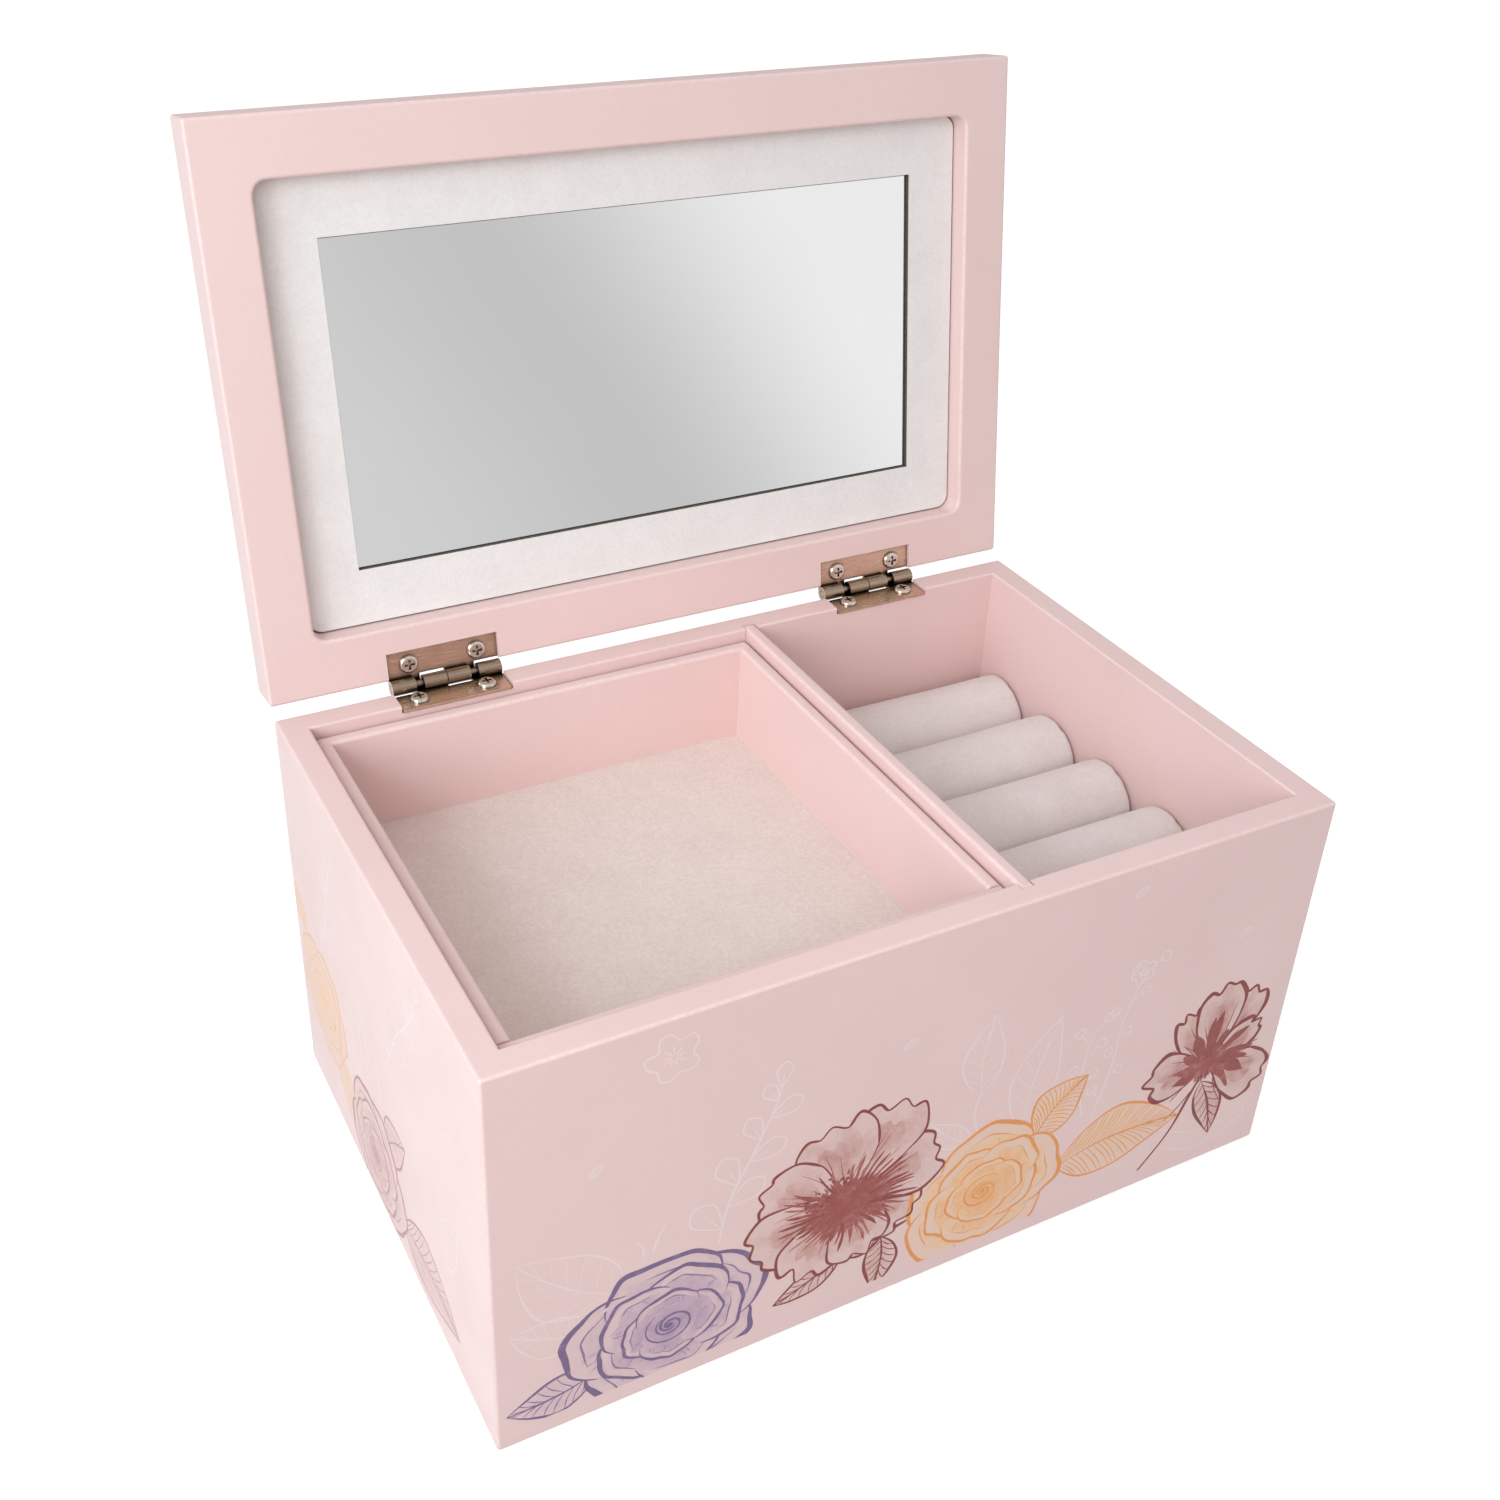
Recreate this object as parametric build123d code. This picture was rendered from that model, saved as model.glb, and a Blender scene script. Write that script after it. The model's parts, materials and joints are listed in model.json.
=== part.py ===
from build123d import *
import math
import os

# A small lidded jewellery box of painted board. The case stands on a felt sheet, with its width along X,
# its depth along Y and its back towards +Y. The origin is under the middle of the case, on the surface that
# it stands on. The lid is open against the hinges' stop, leaning back a little past upright. Millimetres.

# ---- case ----
CASE_WIDTH = 188.0
CASE_DEPTH = 121.0
WALL_HEIGHT = 95.0  # from the walls' lower edge to the rim
WALL = 6.0
ARRIS = 0.7  # rounding of the outer edges
RIM_ARRIS = 0.5  # rounding of the rim's inner edges

# ---- base ----
BASE_THICKNESS = 3.0
BASE_RABBET = 3.0  # how far the base is let into the walls
FELT_THICKNESS = 1.0
FELT_FIT = 1.0  # between the felt and the feet of the walls
FELT_STANDING = 0.6  # how far the felt stands below the walls
LINING_THICKNESS = 1.0

# ---- divider ----
DIVIDER_THICKNESS = 3.0
DIVIDER_ARRIS = 0.8
GROOVE_DEPTH = 2.0
GROOVE_CLEARANCE = 0.12  # each side of the divider, and at its ends
RING_COMPARTMENT_WIDTH = 68.0

# ---- lift-out tray ----
TRAY_WALL = 3.0
TRAY_HEIGHT = 27.1
TRAY_BELOW_RIM = 2.5
TRAY_FLOOR = 2.2
TRAY_FIT_SIDES = 0.6  # gap to the case at its left and right
TRAY_FIT_ENDS = 0.5  # gap to the hinge leaves that overhang the back, and the same at the front
TRAY_ARRIS = 0.9
LEDGE_WIDTH = 5.0
LEDGE_HEIGHT = 8.0

# ---- ring rolls ----
ROLL_COUNT = 5
ROLL_GAP = 0.4  # between one roll and the next
ROLL_BELOW_RIM = 24.6
ROLL_SEAT = 0.4  # how much of each roll is pressed flat by the shelf
ROLL_END_GAP = 0.3
ROLL_EDGE = 0.6  # rounding of the rolls' ends
SHELF_THICKNESS = 3.0
SHELF_FIT = 0.2

# ---- lid ----
LID_FRAME_THICKNESS = 7.0
LID_TOP_THICKNESS = 3.0
LID_SETBACK = 1.0  # how far the lid's front edge stops short of the case's
LID_CLOSED_GAP = 0.3
LID_OPENING = 98.4  # degrees from closed to the hinges' stop
LID_BORDER_SIDES = 11.5  # width of the frame beside the mirror's recess
LID_BORDER_ENDS = 12.4  # and along its front and back
RECESS_CORNER = 3.0
RECESS_ARRIS = 0.8
SURROUND_THICKNESS = 2.0
SURROUND_FIT = 0.3
WINDOW_MARGIN = 12.5  # width of the surround that shows round the mirror
GLASS_THICKNESS = 1.0
GLASS_GAP = 0.3  # between the glass and the window's edge

# ---- hinges ----
HINGE_LENGTH = 25.4
HINGE_SPACING = 109.8  # middle of one hinge to middle of the other
LEAF_THICKNESS = 0.7
LEAF_REACH = 8.0  # from the pin's axis to the leaf's far edge
LEAF_CORNER = 0.6
BARREL_RADIUS = 1.75
PIN_RADIUS = 0.85
PIN_CLEARANCE = 0.05  # round the pin in the lid's knuckles
PIN_OUTSIDE = 1.7  # from the case's rear face to the pin's axis
STOP_LENGTH = 1.9  # of pin left bare by each pair of stop tabs
STOP_CLEARANCE = 0.05
KNUCKLE_GAP = 0.2
SWING_CLEARANCE = 0.25  # between a knuckle and the other leaf
MORTISE_FIT = 0.15

# ---- hinge screws ----
SCREW_FROM_ENDS = 4.85  # from the leaf's ends
SCREW_EDGE = 3.3  # from the leaf's far edge
SCREW_RADIUS = 1.0
SCREW_CLEARANCE = 0.05
SCREW_HEAD_RADIUS = 2.1
SCREW_HEAD_HEIGHT = 0.9
SCREW_POINT = 2.0
CASE_SCREW_LENGTH = 8.0
LID_SCREW_COVER = 0.6  # board left over the points of the lid's screws
CROSS_WIDTH = 0.55
CROSS_LENGTH = 2.3
CROSS_DEPTH = 0.45

# ---- what follows from the sizes above ----
RIGHT = CASE_WIDTH / 2
REAR = CASE_DEPTH / 2
INNER_RIGHT = RIGHT - WALL
INNER_REAR = REAR - WALL
WALL_FOOT = FELT_STANDING
RIM = WALL_FOOT + WALL_HEIGHT
BASE_UNDER = FELT_THICKNESS
BASE_TOP = BASE_UNDER + BASE_THICKNESS
DIVIDER_RIGHT = INNER_RIGHT - RING_COMPARTMENT_WIDTH
DIVIDER_LEFT = DIVIDER_RIGHT - DIVIDER_THICKNESS

ROLL_PITCH = 2 * INNER_REAR / ROLL_COUNT
ROLL_RADIUS = (ROLL_PITCH - ROLL_GAP) / 2
ROLL_AXIS_Z = RIM - ROLL_BELOW_RIM - ROLL_RADIUS
SHELF_TOP = ROLL_AXIS_Z - ROLL_RADIUS + ROLL_SEAT
SHELF_UNDER = SHELF_TOP - SHELF_THICKNESS

PIN_Y = REAR + PIN_OUTSIDE
PIN_Z = RIM + LID_CLOSED_GAP / 2
LID_UNDER = RIM + LID_CLOSED_GAP
LID_FRAME_TOP = LID_UNDER + LID_FRAME_THICKNESS
LID_TOP = LID_FRAME_TOP + LID_TOP_THICKNESS
LID_FRONT = -REAR + LID_SETBACK
LID_MIDDLE = (REAR + LID_FRONT) / 2
RECESS_WIDTH = CASE_WIDTH - 2 * LID_BORDER_SIDES
RECESS_LENGTH = REAR - LID_FRONT - 2 * LID_BORDER_ENDS

# The leaves are tangent to the barrel, so closed they lie a barrel apart, each let into its board.
MORTISE_DEPTH = BARREL_RADIUS - LID_CLOSED_GAP / 2
LEAF_TOP = RIM - MORTISE_DEPTH + LEAF_THICKNESS
LEAF_INNER_Y = PIN_Y - LEAF_REACH
SCREW_Y = LEAF_INNER_Y + SCREW_EDGE
SCREW_X = HINGE_LENGTH / 2 - SCREW_FROM_ENDS
LID_SCREW_LENGTH = LID_FRAME_THICKNESS - MORTISE_DEPTH + LEAF_THICKNESS - LID_SCREW_COVER
HINGE_CENTRES = {"left": -HINGE_SPACING / 2, "right": HINGE_SPACING / 2}

TRAY_LEFT = -INNER_RIGHT + TRAY_FIT_SIDES
TRAY_RIGHT = DIVIDER_LEFT - TRAY_FIT_SIDES
TRAY_REAR = min(INNER_REAR, LEAF_INNER_Y) - TRAY_FIT_ENDS
TRAY_TOP = RIM - TRAY_BELOW_RIM
TRAY_UNDER = TRAY_TOP - TRAY_HEIGHT


def span(start, length):
    """The two ends of a stretch, from where it starts and its length."""
    return start, start + length


def block(x, y, z):
    """A box between two limits on each axis."""
    middle = [(low + high) / 2 for low, high in (x, y, z)]
    size = [high - low for low, high in (x, y, z)]
    return Pos(*middle) * Box(*size)


def edges_at(solid, axis, **place):
    """The edges along an axis whose middles have the coordinates in place."""
    found = solid.edges().filter_by(axis)
    for name, value in place.items():
        found = found.filter_by(lambda e: abs(getattr(e.center(), name) - value) < 1e-3)
    return found


def ease(solid, radius, *edge_lists):
    """Round the edges in all the lists at once, so that they meet in rounded corners."""
    return fillet([edge for edges in edge_lists for edge in edges], radius)


# ---------------------------------------------------------------------------------------------- case
def rabbet():
    """The space for the base, let into the foot of all four walls."""
    half_x = INNER_RIGHT + BASE_RABBET
    half_y = INNER_REAR + BASE_RABBET
    return block((-half_x, half_x), (-half_y, half_y), (WALL_FOOT - 1, BASE_TOP))


def divider_groove():
    """The space that the divider slides down into, in the front and back panels."""
    x = (DIVIDER_LEFT - GROOVE_CLEARANCE, DIVIDER_RIGHT + GROOVE_CLEARANCE)
    half_y = INNER_REAR + GROOVE_DEPTH
    return block(x, (-half_y, half_y), (BASE_TOP, RIM + 1))


def walls():
    """All four walls as one ring, with their outer edges and their rim rounded."""
    ring = block((-RIGHT, RIGHT), (-REAR, REAR), (WALL_FOOT, RIM))
    ring = ease(ring, ARRIS, ring.edges())
    ring -= block((-INNER_RIGHT, INNER_RIGHT), (-INNER_REAR, INNER_REAR), (WALL_FOOT - 1, RIM + 1))
    mouth = [edges_at(ring, Axis.X, Y=y, Z=RIM) for y in (-INNER_REAR, INNER_REAR)]
    mouth += [edges_at(ring, Axis.Y, X=x, Z=RIM) for x in (-INNER_RIGHT, INNER_RIGHT)]
    return ease(ring, RIM_ARRIS, *mouth) - rabbet()


def mitred(side, along_x):
    """What lies between the mitres at the two ends of one wall: front or left (-1), back or right (+1)."""
    outer_x, outer_y = RIGHT + 1, REAR + 1
    inner_x, inner_y = INNER_RIGHT - 1, INNER_REAR - 1
    if along_x:
        outline = [(-outer_x, outer_y), (outer_x, outer_y), (inner_x, inner_y), (-inner_x, inner_y)]
        outline = [(x, side * y) for x, y in outline]
    else:
        outline = [(outer_x, -outer_y), (outer_x, outer_y), (inner_x, inner_y), (inner_x, -inner_y)]
        outline = [(side * x, y) for x, y in outline]
    face = make_face(Polyline(*outline, close=True))
    return Pos(0, 0, WALL_FOOT - 1) * extrude(face, WALL_HEIGHT + 2, dir=(0, 0, 1))


def end_panel(side):
    """The front (side -1) or back (side +1) panel, mitred at both ends and grooved for the divider."""
    return walls() & mitred(side, along_x=True) - divider_groove()


def side_panel(side):
    """The left (side -1) or right (side +1) panel, mitred at both ends."""
    return walls() & mitred(side, along_x=False)


def back_panel():
    """The back panel, with its rim cut away under each hinge and bored for the screws."""
    panel = end_panel(+1)
    half = HINGE_LENGTH / 2 + MORTISE_FIT
    floor = RIM - MORTISE_DEPTH
    for centre in HINGE_CENTRES.values():
        panel -= block((centre - half, centre + half), (INNER_REAR - 1, REAR + 1), (floor, RIM + 1))
        panel -= pilots(CASE_SCREW_LENGTH).moved(Location((centre, SCREW_Y, LEAF_TOP)))
    return panel


def base_panel():
    half_x = INNER_RIGHT + BASE_RABBET
    half_y = INNER_REAR + BASE_RABBET
    return block((-half_x, half_x), (-half_y, half_y), (BASE_UNDER, BASE_TOP))


def base_felt():
    half_x = INNER_RIGHT + BASE_RABBET - FELT_FIT
    half_y = INNER_REAR + BASE_RABBET - FELT_FIT
    return block((-half_x, half_x), (-half_y, half_y), (0, FELT_THICKNESS))


def divider():
    """The divider, standing on the base in its two grooves, with its top edges rounded."""
    half_y = INNER_REAR + GROOVE_DEPTH - GROOVE_CLEARANCE
    board = block((DIVIDER_LEFT, DIVIDER_RIGHT), (-half_y, half_y), (BASE_TOP, RIM))
    return ease(board, DIVIDER_ARRIS, edges_at(board, Axis.Y, Z=RIM), edges_at(board, Axis.X, Z=RIM))


def compartment_lining():
    return block((-INNER_RIGHT, DIVIDER_LEFT), (-INNER_REAR, INNER_REAR), span(BASE_TOP, LINING_THICKNESS))


def ledge(start, top):
    """A strip from the front panel to the back one, under whatever rests at top."""
    return block(span(start, LEDGE_WIDTH), (-INNER_REAR, INNER_REAR), (top - LEDGE_HEIGHT, top))


# ---------------------------------------------------------------------------------------- ring rolls
def ring_shelf():
    x = (DIVIDER_RIGHT + SHELF_FIT, INNER_RIGHT - SHELF_FIT)
    half_y = INNER_REAR - SHELF_FIT
    return block(x, (-half_y, half_y), span(SHELF_UNDER, SHELF_THICKNESS))


def ring_roll(number):
    """One soft roll, numbered from the back, lying across the compartment on the shelf."""
    y = INNER_REAR - (number - 0.5) * ROLL_PITCH
    length = RING_COMPARTMENT_WIDTH - 2 * ROLL_END_GAP
    middle = (DIVIDER_RIGHT + INNER_RIGHT) / 2
    roll = Cylinder(ROLL_RADIUS, length)
    roll = ease(roll, ROLL_EDGE, roll.edges().filter_by(GeomType.CIRCLE))
    roll = Pos(middle, y, ROLL_AXIS_Z) * Rot(0, 90, 0) * roll
    below = (ROLL_AXIS_Z - 2 * ROLL_RADIUS, SHELF_TOP)
    return roll - block((middle - length, middle + length), (y - ROLL_PITCH, y + ROLL_PITCH), below)


# ---------------------------------------------------------------------------------------------- tray
def tray_end(side):
    """The tray's front (side -1) or back (side +1) board, over its whole width."""
    outer, inner = side * TRAY_REAR, side * (TRAY_REAR - TRAY_WALL)
    board = block((TRAY_LEFT, TRAY_RIGHT), sorted((outer, inner)), (TRAY_UNDER, TRAY_TOP))
    corners = edges_at(board, Axis.Z, Y=outer)
    top = edges_at(board, Axis.X, Z=TRAY_TOP)
    return ease(board, TRAY_ARRIS, corners, top, edges_at(board, Axis.Y, Z=TRAY_TOP))


def tray_side(start):
    """One of the tray's short boards, between its front and back ones."""
    half_y = TRAY_REAR - TRAY_WALL
    board = block(span(start, TRAY_WALL), (-half_y, half_y), (TRAY_UNDER, TRAY_TOP))
    return ease(board, TRAY_ARRIS, edges_at(board, Axis.Y, Z=TRAY_TOP))


def tray_inside(z):
    """What fills the tray from wall to wall between two heights."""
    half_y = TRAY_REAR - TRAY_WALL
    return block((TRAY_LEFT + TRAY_WALL, TRAY_RIGHT - TRAY_WALL), (-half_y, half_y), z)


# ----------------------------------------------------------------------------------------------- lid
def opened(solid):
    """Turn a solid of the closed lid about the pin, back to the hinges' stop."""
    return solid.rotate(Axis((0, PIN_Y, PIN_Z), (1, 0, 0)), -LID_OPENING)


def recess_plate(inset, z):
    """A plate that follows the recess's outline, all round inset into it, between two heights."""
    outline = RectangleRounded(RECESS_WIDTH - 2 * inset, RECESS_LENGTH - 2 * inset, RECESS_CORNER)
    return Pos(0, LID_MIDDLE, z[0]) * extrude(outline, z[1] - z[0])


def window_plate(inset, z):
    """A plate that follows the surround's window, all round inset into it, between two heights."""
    half_x = RECESS_WIDTH / 2 - WINDOW_MARGIN - inset
    half_y = RECESS_LENGTH / 2 - WINDOW_MARGIN - inset
    return block((-half_x, half_x), (LID_MIDDLE - half_y, LID_MIDDLE + half_y), z)


def lid_frame():
    frame = block((-RIGHT, RIGHT), (LID_FRONT, REAR), (LID_UNDER, LID_FRAME_TOP))
    under = [edges_at(frame, axis, Z=LID_UNDER) for axis in (Axis.X, Axis.Y)]
    frame = ease(frame, ARRIS, frame.edges().filter_by(Axis.Z), *under)
    frame -= recess_plate(0, (LID_UNDER, LID_FRAME_TOP))
    mouth = frame.edges().group_by(Axis.Z)[0].filter_by(
        lambda e: abs(e.center().X) < RECESS_WIDTH / 2 + 1e-3
        and abs(e.center().Y - LID_MIDDLE) < RECESS_LENGTH / 2 + 1e-3
    )
    frame = ease(frame, RECESS_ARRIS, mouth)
    half = HINGE_LENGTH / 2 + MORTISE_FIT
    y = (LEAF_INNER_Y - MORTISE_FIT, REAR + 1)
    for centre in HINGE_CENTRES.values():
        frame -= block((centre - half, centre + half), y, (LID_UNDER - 1, LID_UNDER + MORTISE_DEPTH))
        frame -= lid_side(pilots(LID_SCREW_LENGTH).moved(Location((centre, SCREW_Y, LEAF_TOP))))
    return frame


def lid_top_panel():
    panel = block((-RIGHT, RIGHT), (LID_FRONT, REAR), (LID_FRAME_TOP, LID_TOP))
    top = [edges_at(panel, axis, Z=LID_TOP) for axis in (Axis.X, Axis.Y)]
    return ease(panel, ARRIS, panel.edges().filter_by(Axis.Z), *top)


def mirror_surround():
    z = (LID_FRAME_TOP - SURROUND_THICKNESS, LID_FRAME_TOP)
    return recess_plate(SURROUND_FIT, z) - window_plate(0, z)


def mirror_glass():
    return window_plate(GLASS_GAP, (LID_FRAME_TOP - GLASS_THICKNESS, LID_FRAME_TOP))


# -------------------------------------------------------------------------------------------- hinges
def knuckles():
    """Where each leaf's knuckles lie along the pin, from the hinge's middle, and where its stop tabs do."""
    half = HINGE_LENGTH / 2
    knuckle = (HINGE_LENGTH - 2 * STOP_LENGTH) / 4
    middle = KNUCKLE_GAP / 2
    lid = [(-half, -half + knuckle), (middle, knuckle)]
    case = [(-knuckle, -middle), (half - knuckle, half)]
    tabs = [(-half + knuckle, -knuckle), (knuckle, half - knuckle)]
    return {"case": case, "lid": lid, "tabs": tabs}


def leaf(side, bore):
    """A hinge leaf with its knuckles. The pin's axis is X, and the leaf lies below it, towards -Y."""
    places = knuckles()
    half = HINGE_LENGTH / 2
    z = span(-BARREL_RADIUS, LEAF_THICKNESS)
    shoulder = -BARREL_RADIUS - SWING_CLEARANCE
    plate = block((-half, half), (-LEAF_REACH, shoulder), z)
    plate = ease(plate, LEAF_CORNER, edges_at(plate, Axis.Z, Y=-LEAF_REACH))
    screw_hole = Cylinder(SCREW_RADIUS + SCREW_CLEARANCE, 4 * BARREL_RADIUS)
    for x in (-SCREW_X, SCREW_X):
        plate -= Pos(x, SCREW_EDGE - LEAF_REACH, 0) * screw_hole
    # The tabs of the two leaves meet edge to edge when the lid is at its stop.
    lap = (BARREL_RADIUS - LEAF_THICKNESS) / math.tan(math.radians(LID_OPENING / 2)) - STOP_CLEARANCE
    for x0, x1 in places["tabs"]:
        x = (x0 + KNUCKLE_GAP, x1) if side == "case" else (x0, x1 - KNUCKLE_GAP)
        plate += block(x, (shoulder, lap), z)
    for x0, x1 in places[side]:
        plate += block((x0, x1), (shoulder, 0), z)
        plate += Pos((x0 + x1) / 2, 0, 0) * Rot(0, 90, 0) * Cylinder(BARREL_RADIUS, x1 - x0)
    return plate - Rot(0, 90, 0) * Cylinder(bore, 2 * HINGE_LENGTH)


def hinge_pin():
    pin = Cylinder(PIN_RADIUS, HINGE_LENGTH)
    pin = ease(pin, PIN_RADIUS / 4, pin.edges().filter_by(GeomType.CIRCLE))
    return Rot(0, 90, 0) * pin


def at_pin(solid, centre):
    return Pos(centre, PIN_Y, PIN_Z) * solid


def lid_side(solid):
    """Mirror what is on the case's side of the pin to the closed lid's side."""
    return mirror(solid, Plane.XY.offset(PIN_Z))


# -------------------------------------------------------------------------------------- hinge screws
def screw(length):
    """A pan-head screw with a cross recess. Its head stands on z = 0, and its point is down."""
    head = Pos(0, 0, SCREW_HEAD_HEIGHT / 2) * Cylinder(SCREW_HEAD_RADIUS, SCREW_HEAD_HEIGHT)
    head = ease(head, SCREW_HEAD_HEIGHT * 0.75, head.edges().group_by(Axis.Z)[-1])
    for turn in (0, 90):
        slot = Box(CROSS_LENGTH, CROSS_WIDTH, 2 * CROSS_DEPTH)
        head -= Pos(0, 0, SCREW_HEAD_HEIGHT) * Rot(0, 0, turn) * slot
    straight = length - SCREW_POINT
    shank = Pos(0, 0, -straight / 2) * Cylinder(SCREW_RADIUS, straight)
    point = Pos(0, 0, -straight - SCREW_POINT / 2) * Cone(SCREW_RADIUS / 8, SCREW_RADIUS, SCREW_POINT)
    return head + shank + point


def pair(solid):
    """A screw, or its hole, at each end of a leaf, with the leaf's middle at x = 0."""
    return [Pos(x, 0, 0) * solid for x in (-SCREW_X, SCREW_X)]


def pilots(length):
    """The holes in the board for a leaf's two screws, from the top of the leaf down."""
    depth = length + SCREW_CLEARANCE
    hole = Pos(0, 0, -depth / 2) * Cylinder(SCREW_RADIUS + SCREW_CLEARANCE, depth)
    return Compound(children=pair(hole))


def case_screws(centre):
    place = Pos(centre, SCREW_Y, LEAF_TOP)
    return Compound(children=[place * each for each in pair(screw(CASE_SCREW_LENGTH))])


def lid_screws(centre):
    place = Pos(centre, SCREW_Y, LEAF_TOP)
    return Compound(children=[opened(lid_side(place * each)) for each in pair(screw(LID_SCREW_LENGTH))])


# --------------------------------------------------------------------------------------- the pieces
def pieces():
    """Every piece by name, each where it is with the lid at its stop."""
    made = {
        "front_panel": end_panel(-1),
        "back_panel": back_panel(),
        "left_panel": side_panel(-1),
        "right_panel": side_panel(+1),
        "base_panel": base_panel(),
        "base_felt": base_felt(),
        "divider": divider(),
        "compartment_lining": compartment_lining(),
        "tray_ledge_left": ledge(-INNER_RIGHT, TRAY_UNDER),
        "tray_ledge_right": ledge(DIVIDER_LEFT - LEDGE_WIDTH, TRAY_UNDER),
        "ring_shelf": ring_shelf(),
        "ring_shelf_ledge_left": ledge(DIVIDER_RIGHT, SHELF_UNDER),
        "ring_shelf_ledge_right": ledge(INNER_RIGHT - LEDGE_WIDTH, SHELF_UNDER),
        "tray_front": tray_end(-1),
        "tray_back": tray_end(+1),
        "tray_left": tray_side(TRAY_LEFT),
        "tray_right": tray_side(TRAY_RIGHT - TRAY_WALL),
        "tray_floor": tray_inside(span(TRAY_UNDER, TRAY_FLOOR)),
        "tray_lining": tray_inside(span(TRAY_UNDER + TRAY_FLOOR, LINING_THICKNESS)),
        "lid_frame": opened(lid_frame()),
        "lid_top_panel": opened(lid_top_panel()),
        "mirror_surround": opened(mirror_surround()),
        "mirror_glass": opened(mirror_glass()),
    }
    for number in range(1, ROLL_COUNT + 1):
        made[f"ring_roll_{number}"] = ring_roll(number)
    for name, centre in HINGE_CENTRES.items():
        made[f"hinge_{name}_case_leaf"] = at_pin(leaf("case", PIN_RADIUS), centre)
        made[f"hinge_{name}_pin"] = at_pin(hinge_pin(), centre)
        made[f"hinge_{name}_case_screws"] = case_screws(centre)
        lid_leaf = at_pin(leaf("lid", PIN_RADIUS + PIN_CLEARANCE), centre)
        made[f"hinge_{name}_lid_leaf"] = opened(lid_side(lid_leaf))
        made[f"hinge_{name}_lid_screws"] = lid_screws(centre)
    return made


os.makedirs("parts", exist_ok=True)
for name, solid in pieces().items():
    export_step(solid, f"parts/{name}.step")
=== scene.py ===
"""A small painted jewellery box with a mirror lid, a lift-out tray and ring rolls: its looks."""
import json
import math
import random

import bmesh
import bpy
from mathutils import Matrix, Vector

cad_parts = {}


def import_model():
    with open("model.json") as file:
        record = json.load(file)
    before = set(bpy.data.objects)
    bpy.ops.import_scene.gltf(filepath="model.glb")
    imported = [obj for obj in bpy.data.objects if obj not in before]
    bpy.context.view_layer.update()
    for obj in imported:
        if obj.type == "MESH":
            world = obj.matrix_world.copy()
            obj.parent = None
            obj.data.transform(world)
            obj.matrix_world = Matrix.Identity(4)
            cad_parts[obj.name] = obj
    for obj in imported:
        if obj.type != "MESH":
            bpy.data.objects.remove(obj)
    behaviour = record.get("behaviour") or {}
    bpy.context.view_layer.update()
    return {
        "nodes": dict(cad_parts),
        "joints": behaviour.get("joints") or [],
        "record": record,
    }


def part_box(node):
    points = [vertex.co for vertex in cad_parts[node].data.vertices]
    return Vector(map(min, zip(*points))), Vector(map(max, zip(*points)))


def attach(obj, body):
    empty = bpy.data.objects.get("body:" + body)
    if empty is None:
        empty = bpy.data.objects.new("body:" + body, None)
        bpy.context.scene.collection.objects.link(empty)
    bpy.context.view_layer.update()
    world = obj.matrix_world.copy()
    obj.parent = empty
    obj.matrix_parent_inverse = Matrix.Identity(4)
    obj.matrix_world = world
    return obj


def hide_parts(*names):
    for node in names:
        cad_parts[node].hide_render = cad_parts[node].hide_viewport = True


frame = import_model()

MM = 0.001
NODES = frame["nodes"]
JOINTS = {joint["name"]: joint for joint in frame["joints"]}
LID_TURN = math.radians(JOINTS["lid_hinge"]["range_deg"][1])  # from open, as modelled, to closed


# ------------------------------------------------------------------------------- material building blocks
class Tree:
    """A material's node tree, with short calls for the nodes that the finishes share."""

    def __init__(self, name):
        self.material = bpy.data.materials.new(name)
        self.material.use_nodes = True
        self.nodes = self.material.node_tree.nodes
        self.links = self.material.node_tree.links
        self.surface = self.nodes["Principled BSDF"]
        self.texture = self.node("ShaderNodeTexCoord")
        self.place = self.texture.outputs["Object"]

    def node(self, kind, **settings):
        made = self.nodes.new(kind)
        for name, value in settings.items():
            setattr(made, name, value)
        return made

    def join(self, value, socket):
        """Link an output to a socket, or set the socket if value is a plain number or colour."""
        if isinstance(value, bpy.types.NodeSocket):
            self.links.new(value, socket)
        else:
            socket.default_value = value

    def noise(self, scale, detail=3.0, roughness=0.5, at=None):
        made = self.node("ShaderNodeTexNoise")
        self.join(at or self.place, made.inputs["Vector"])
        made.inputs["Scale"].default_value = scale
        made.inputs["Detail"].default_value = detail
        made.inputs["Roughness"].default_value = roughness
        return made.outputs["Fac"]

    def spread(self, value, low, high, to_low=0.0, to_high=1.0):
        """Stretch the part of value between low and high over another range."""
        made = self.node("ShaderNodeMapRange")
        self.join(value, made.inputs["Value"])
        for name, number in (("From Min", low), ("From Max", high), ("To Min", to_low), ("To Max", to_high)):
            made.inputs[name].default_value = number
        return made.outputs["Result"]

    def maths(self, operation, first, second=0.0):
        made = self.node("ShaderNodeMath", operation=operation)
        self.join(first, made.inputs[0])
        self.join(second, made.inputs[1])
        return made.outputs[0]

    def blend(self, share, first, second):
        """Mix two colours."""
        made = self.node("ShaderNodeMix", data_type="RGBA")
        self.join(share, made.inputs["Factor"])
        self.join(first, made.inputs["A"])
        self.join(second, made.inputs["B"])
        return made.outputs["Result"]

    def bump(self, height, distance, strength=1.0, after=None):
        made = self.node("ShaderNodeBump")
        self.join(height, made.inputs["Height"])
        made.inputs["Distance"].default_value = distance
        made.inputs["Strength"].default_value = strength
        if after is not None:
            self.join(after, made.inputs["Normal"])
        return made.outputs["Normal"]

    def set(self, **values):
        """Set or link the surface's sockets; an underscore in a name stands for a space."""
        for name, value in values.items():
            self.join(value, self.surface.inputs[name.replace("_", " ")])
        return self.material


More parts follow.
